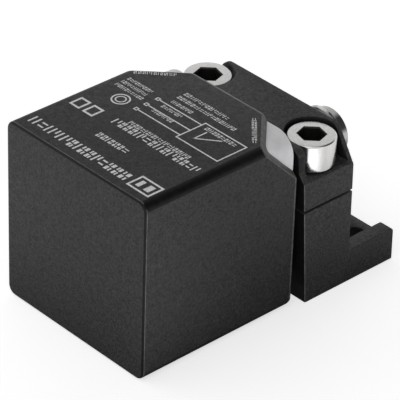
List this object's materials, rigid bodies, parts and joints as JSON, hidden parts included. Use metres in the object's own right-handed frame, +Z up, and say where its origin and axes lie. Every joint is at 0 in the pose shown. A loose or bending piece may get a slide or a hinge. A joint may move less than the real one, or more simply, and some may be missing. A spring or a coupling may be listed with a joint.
{
  "type": "inductive proximity sensor",
  "caption": "Cube-head inductive proximity sensor with a round neck in a screw clamp bracket, slotted mounting foot and rear threaded plug connector.",
  "frame": {"origin": "on the bracket's mounting face, midway between its two mounting slots", "axes": "+Z up, away from the mounting face; -Y is the way the sensing face points, and the plug connector points to +Y; +X is to the right seen from the sensing face"},
  "size_m": [0.042, 0.0688, 0.0401],
  "materials": {
    "housing_plastic": "fine-grained matte moulding with pale print on the top face",
    "bracket_plastic": "fine-grained matte moulding",
    "light_plastic": "milky light-guide plastic, satin",
    "nickel": "bright nickel plating",
    "brass": "machined",
    "gold": "gold-plated contacts, bright",
    "copper": "enamelled copper wire",
    "ferrite": "sintered ferrite, matte",
    "carrier_plastic": "natural moulding",
    "board": "glass-fibre board with solder mask",
    "epoxy": "cast epoxy",
    "capacitor_ceramic": "ceramic body, satin",
    "led_lens": "clear lens",
    "rubber": "matte seal"
  },
  "bodies": {
    "base": {"clamp_base": "bracket_plastic", "threaded_insert_left": "brass", "threaded_insert_right": "brass"},
    "head": {"head_housing": "housing_plastic", "light_frame": "light_plastic", "rear_cover": "housing_plastic", "neck_potting": "epoxy", "ferrite_core": "ferrite", "coil_bobbin": "carrier_plastic", "coil_winding": "copper", "core_carrier": "carrier_plastic", "main_board": "board", "led_board": "board", "oscillator_chip": "epoxy", "output_transistor_1": "epoxy", "output_transistor_2": "epoxy", "filter_capacitor_1": "capacitor_ceramic", "filter_capacitor_2": "capacitor_ceramic", "status_led_1": "led_lens", "status_led_2": "led_lens", "status_led_3": "led_lens", "status_led_4": "led_lens", "connector_shell": "nickel", "connector_seal": "rubber", "contact_carrier": "housing_plastic", "contact_pin_1": "gold", "contact_pin_2": "gold", "contact_pin_3": "gold", "contact_pin_4": "gold"},
    "cap": {"clamp_cap": "bracket_plastic"},
    "screw_left": {"clamp_screw_left": "nickel"},
    "screw_right": {"clamp_screw_right": "nickel"}
  },
  "joints": [
    {"name": "head_turn", "type": "hinge", "parent": "base", "child": "head", "pos_m": [0, -0.01311, 0.0201], "axis": [0, 1, 0], "range_deg": [-180, 180]},
    {"name": "cap_lift", "type": "slide", "parent": "base", "child": "cap", "axis": [0, 0, 1], "range_m": [0, 0.003]},
    {"name": "screw_right_turn", "type": "hinge", "parent": "cap", "child": "screw_right", "pos_m": [0.01486, -0.01311, 0.02835], "axis": [0, 0, 1], "range_deg": [0, 1080]},
    {"name": "screw_left_turn", "type": "hinge", "parent": "cap", "child": "screw_left", "pos_m": [-0.01486, -0.01311, 0.02835], "axis": [0, 0, 1], "range_deg": [0, 1080]}
  ],
  "couplings": [
    {"joint": "screw_right_turn", "follows": "cap_lift", "rad_per_m": 6283.2},
    {"joint": "screw_left_turn", "follows": "cap_lift", "rad_per_m": 6283.2}
  ]
}
